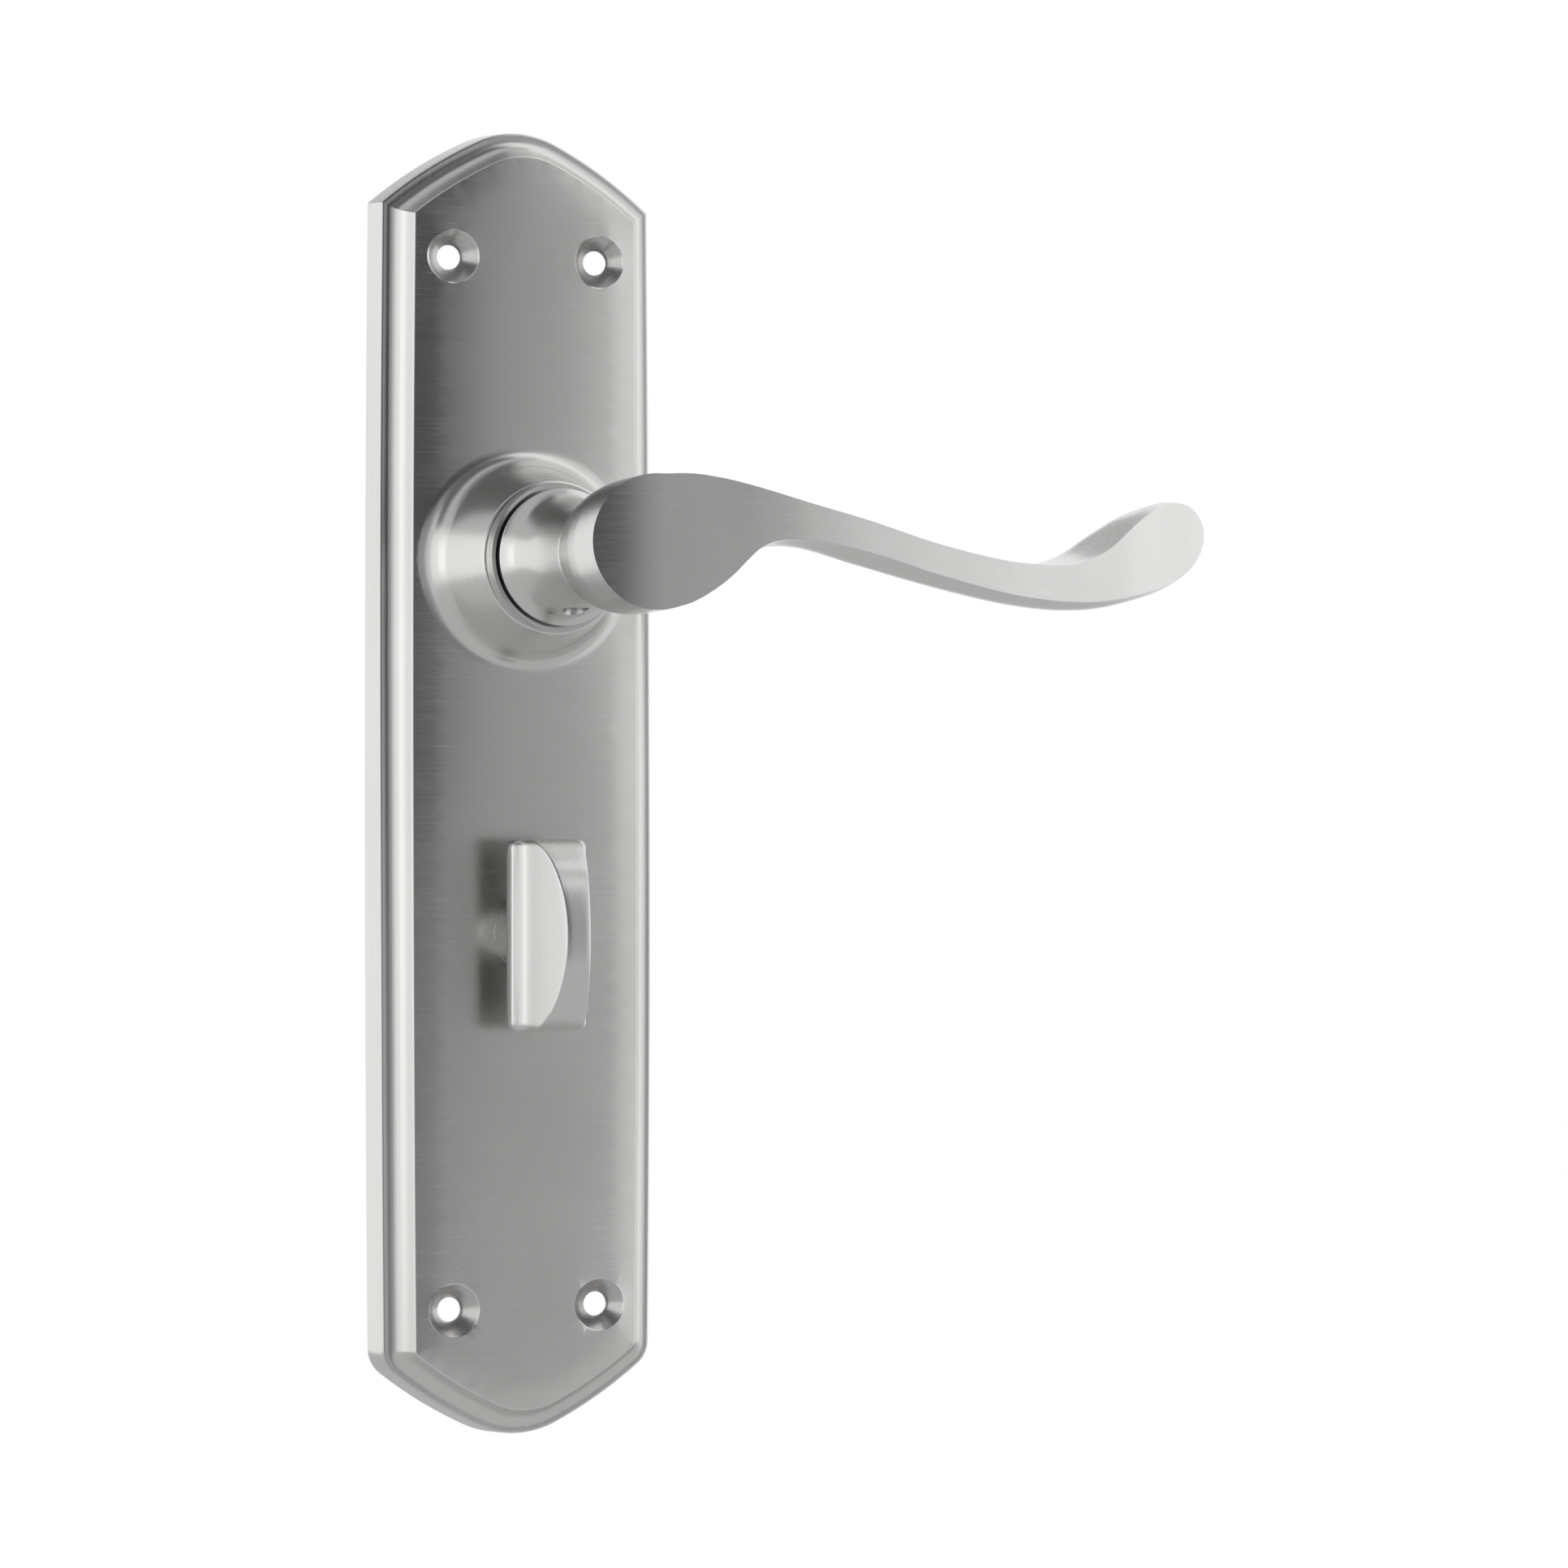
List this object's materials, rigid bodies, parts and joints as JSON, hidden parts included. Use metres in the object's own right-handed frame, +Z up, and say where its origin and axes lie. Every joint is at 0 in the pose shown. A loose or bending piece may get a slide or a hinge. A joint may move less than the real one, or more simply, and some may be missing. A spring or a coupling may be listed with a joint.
{
  "type": "door lever handle",
  "caption": "Scroll door lever on a long shaped backplate with a bathroom thumb-turn, satin nickel finish.",
  "frame": {"origin": "on the lever spindle's axis, in the plane of the door face", "axes": "+Z up along the backplate, +X towards the lever's tip, +Y into the door, so the handle stands out towards -Y"},
  "size_m": [0.1233, 0.0984, 0.2],
  "materials": {
    "plate_satin_nickel": "satin nickel plate, fine brushing across the width",
    "lever_satin_nickel": "satin nickel plate, linished along the lever",
    "turn_satin_nickel": "satin nickel plate, linished",
    "ring_satin_nickel": "satin nickel plate, turned",
    "bush_nylon": "natural nylon",
    "spring_steel": "oiled spring steel",
    "zinc_steel": "bright zinc plate on pressed steel",
    "pin_steel": "ground steel",
    "black_steel": "black oxide",
    "spindle_steel": "cold drawn steel"
  },
  "bodies": {
    "plate": {"backplate": "plate_satin_nickel", "lever_bush": "bush_nylon", "split_guide_ring": "ring_satin_nickel", "lever_stop_pins": "pin_steel", "return_spring": "spring_steel", "rear_cover": "zinc_steel", "cover_screws": "zinc_steel", "turn_bush": "bush_nylon", "turn_stop_pins": "pin_steel"},
    "lever": {"lever_handle": "lever_satin_nickel", "lever_grub_screw": "black_steel", "lever_spindle": "spindle_steel", "spring_keeper": "zinc_steel", "lever_cam_plate": "zinc_steel", "lever_circlip": "spring_steel"},
    "turn": {"turn_knob": "turn_satin_nickel", "turn_spindle": "spindle_steel", "turn_cam": "zinc_steel", "turn_dish_washer": "spring_steel", "turn_circlip": "spring_steel"}
  },
  "joints": [
    {"name": "lever_swing", "type": "hinge", "parent": "plate", "child": "lever", "pos_m": [0, 0, 0], "axis": [0, 1, 0], "range_deg": [0, 50], "stiffness_Nm_per_rad": 0.4, "springref_deg": -57.3, "deforming": ["return_spring"]},
    {"name": "turn_swing", "type": "hinge", "parent": "plate", "child": "turn", "pos_m": [0, 0, -0.057], "axis": [0, 1, 0], "range_deg": [0, 90]}
  ]
}
